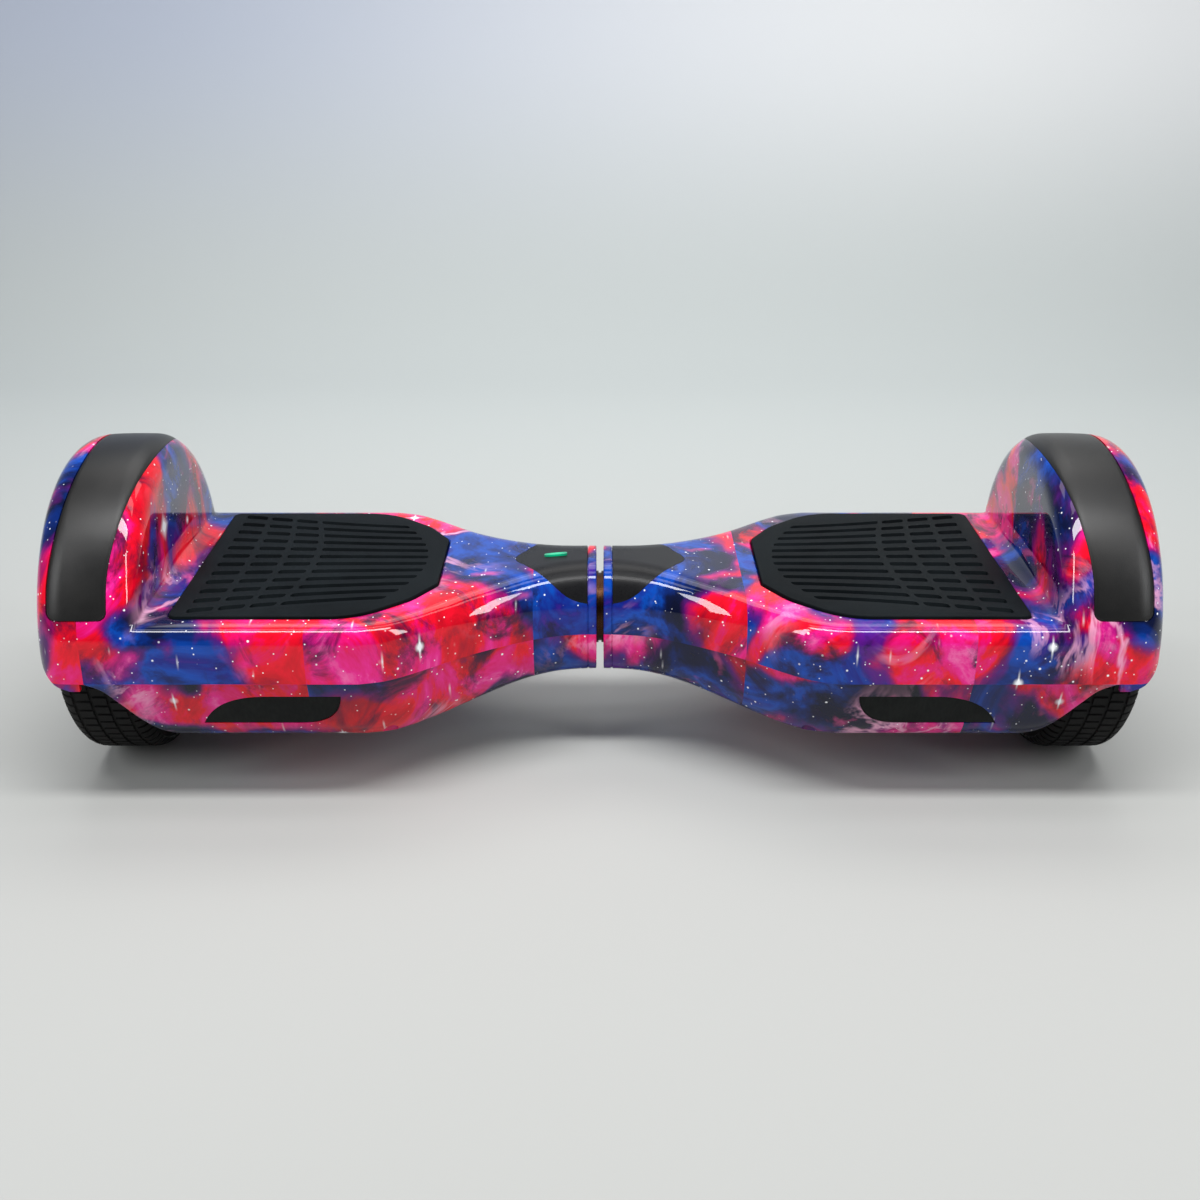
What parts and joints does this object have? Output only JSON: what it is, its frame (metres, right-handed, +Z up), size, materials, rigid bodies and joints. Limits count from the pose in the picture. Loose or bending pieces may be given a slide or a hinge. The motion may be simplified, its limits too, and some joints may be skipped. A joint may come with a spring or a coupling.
{
  "type": "self balancing hoverboard",
  "caption": "Self-balancing board: two hollow halves that twist on a centre shaft, each with a hub-motor wheel under a fender, a sprung foot mat and a front lamp.",
  "frame": {"origin": "on the floor under the centre of the board", "axes": "+X along the board to the right half, +Z up, the front with the lamps faces -Y"},
  "size_m": [0.584, 0.1866, 0.178],
  "materials": {
    "printed_shell": "clear-coated ABS with a space-cloud print",
    "bumper_rubber": "fine-textured soft-touch strip",
    "mat_rubber": "moulded tread",
    "smoked_gloss": "satin smoked black",
    "cast_frame": "as cast",
    "steel": "machined",
    "motor_core": "laminated core, copper coil ends",
    "tyre_rubber": "solid rubber, siped",
    "wheel_alloy": "cast, lightly machined",
    "cap_plastic": "fine grain",
    "smoked_lens": "smoked, polished",
    "circuit_board": "solder mask",
    "cable_jacket": "smooth jacket",
    "status_light": "green light pipe",
    "spreader_alloy": "extruded",
    "cell_steel": "sleeved cells",
    "wrap_film": "heat-shrink film",
    "bronze": "sintered bronze",
    "socket_metal": "nickel plated",
    "button_plastic": "satin"
  },
  "bodies": {
    "left_half": {"battery_bracket": "steel", "battery_cells": "cell_steel", "battery_wrap": "wrap_film", "left_axle": "steel", "left_axle_clamp": "cast_frame", "left_centre_cover": "smoked_gloss", "left_chassis": "cast_frame", "left_fender_bumper": "bumper_rubber", "left_gyro_board": "circuit_board", "left_headlight_board": "circuit_board", "left_headlight_lens": "smoked_lens", "left_lower_screws": "steel", "left_lower_shell": "printed_shell", "left_motor_cable": "cable_jacket", "left_stator": "motor_core", "left_upper_screws": "steel", "left_upper_shell": "printed_shell", "pivot_harness": "cable_jacket", "pivot_shaft": "steel", "shaft_pins": "steel", "shaft_retaining_ring": "steel", "status_lens": "status_light", "thrust_washers": "bronze"},
    "right_half": {"charge_socket": "socket_metal", "heat_spreader": "spreader_alloy", "main_control_board": "circuit_board", "pivot_bushes": "bronze", "power_switch": "cap_plastic", "right_axle": "steel", "right_axle_clamp": "cast_frame", "right_centre_cover": "smoked_gloss", "right_chassis": "cast_frame", "right_fender_bumper": "bumper_rubber", "right_gyro_board": "circuit_board", "right_headlight_board": "circuit_board", "right_headlight_lens": "smoked_lens", "right_lower_screws": "steel", "right_lower_shell": "printed_shell", "right_motor_cable": "cable_jacket", "right_stator": "motor_core", "right_upper_screws": "steel", "right_upper_shell": "printed_shell"},
    "left_wheel": {"left_tyre": "tyre_rubber", "left_rim": "wheel_alloy", "left_motor_cover": "wheel_alloy", "left_magnet_ring": "steel", "left_wheel_bearings": "steel", "left_cover_screws": "steel", "left_hub_cap": "cap_plastic"},
    "right_wheel": {"right_tyre": "tyre_rubber", "right_rim": "wheel_alloy", "right_motor_cover": "wheel_alloy", "right_magnet_ring": "steel", "right_wheel_bearings": "steel", "right_cover_screws": "steel", "right_hub_cap": "cap_plastic"},
    "left_mat": {"left_foot_mat": "mat_rubber"},
    "right_mat": {"right_foot_mat": "mat_rubber"},
    "power_button": {"power_button": "button_plastic"},
    "charge_cap": {"charge_cap": "cap_plastic"}
  },
  "joints": [
    {"name": "pivot_twist", "type": "hinge", "parent": "left_half", "child": "right_half", "pos_m": [0, 0, 0.079], "axis": [1, 0, 0], "range_deg": [-12, 12]},
    {"name": "left_wheel_spin", "type": "hinge", "parent": "left_half", "child": "left_wheel", "pos_m": [-0.26, 0, 0.083], "axis": [1, 0, 0], "continuous": true},
    {"name": "right_wheel_spin", "type": "hinge", "parent": "right_half", "child": "right_wheel", "pos_m": [0.26, 0, 0.083], "axis": [1, 0, 0], "continuous": true},
    {"name": "left_mat_press", "type": "slide", "parent": "left_half", "child": "left_mat", "axis": [0, 0, -1], "range_m": [0, 0.0015], "stiffness_N_per_m": 20000, "springref_m": -0.0002},
    {"name": "right_mat_press", "type": "slide", "parent": "right_half", "child": "right_mat", "axis": [0, 0, -1], "range_m": [0, 0.0015], "stiffness_N_per_m": 20000, "springref_m": -0.0002},
    {"name": "power_button_press", "type": "slide", "parent": "right_half", "child": "power_button", "axis": [0, -1, 0], "range_m": [0, 0.001], "stiffness_N_per_m": 600, "springref_m": -0.0005},
    {"name": "charge_cap_hinge", "type": "hinge", "parent": "right_half", "child": "charge_cap", "pos_m": [0.14, 0.0839, 0.0679], "axis": [1, 0, 0], "range_deg": [0, 95]}
  ]
}
